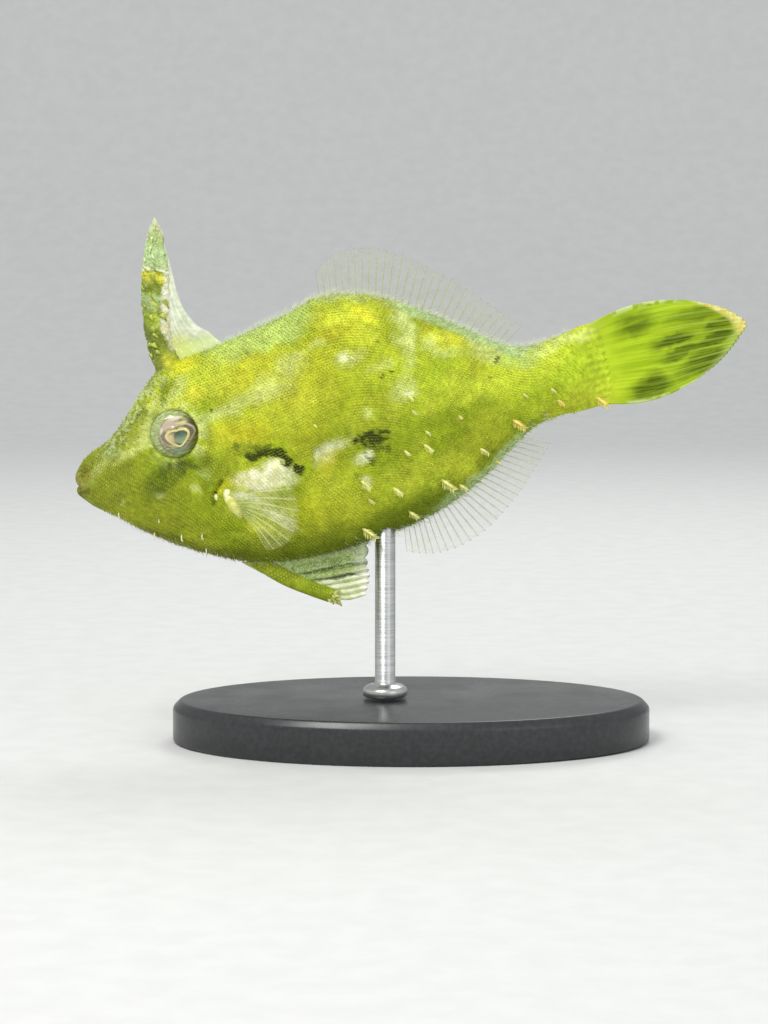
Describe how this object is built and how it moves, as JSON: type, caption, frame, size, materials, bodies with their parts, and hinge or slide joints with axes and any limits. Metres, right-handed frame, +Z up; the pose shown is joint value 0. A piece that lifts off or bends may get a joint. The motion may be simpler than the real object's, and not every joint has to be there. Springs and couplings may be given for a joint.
{
  "type": "aiptasia-eating filefish display model",
  "caption": "Still, life-size filefish with an erect dorsal spine, pelvic flap, rayed fins and skin tassels, held nose-down by a rod over an oval plate.",
  "frame": {"origin": "middle of the underside of the model's bounding box, on the surface that the stand's plate rests on", "axes": "+Z up, -X the way the fish faces (nose-down by 13 degrees), -Y the side that the picture shows (the fish's left)"},
  "size_m": [0.0786, 0.034, 0.0614],
  "materials": {
    "skin": "velvety yellow-green skin with a fine net of pale scale tips, dark blotches and cream marks",
    "fin_membrane": "thin, nearly clear fin membrane with pale rays",
    "tail_membrane": "lime tail fin with streaky dark blotches between its rays and a pale edge",
    "eye": "wet, domed eye with a silver and olive iris and a gold ring round a green pupil",
    "plate": "satin black",
    "rod": "satin steel"
  },
  "bodies": {
    "root": {"head": "skin", "trunk": "skin", "tail": "skin", "tail_fin": "tail_membrane", "dorsal_spine": "skin", "spine_membrane": "fin_membrane", "soft_dorsal_fin": "fin_membrane", "anal_fin": "fin_membrane", "pectoral_fin_left": "fin_membrane", "pectoral_fin_right": "fin_membrane", "pelvic_flap": "skin", "eye_left": "eye", "eye_right": "eye", "stand_base": "plate", "stand_rod": "rod"}
  },
  "joints": []
}
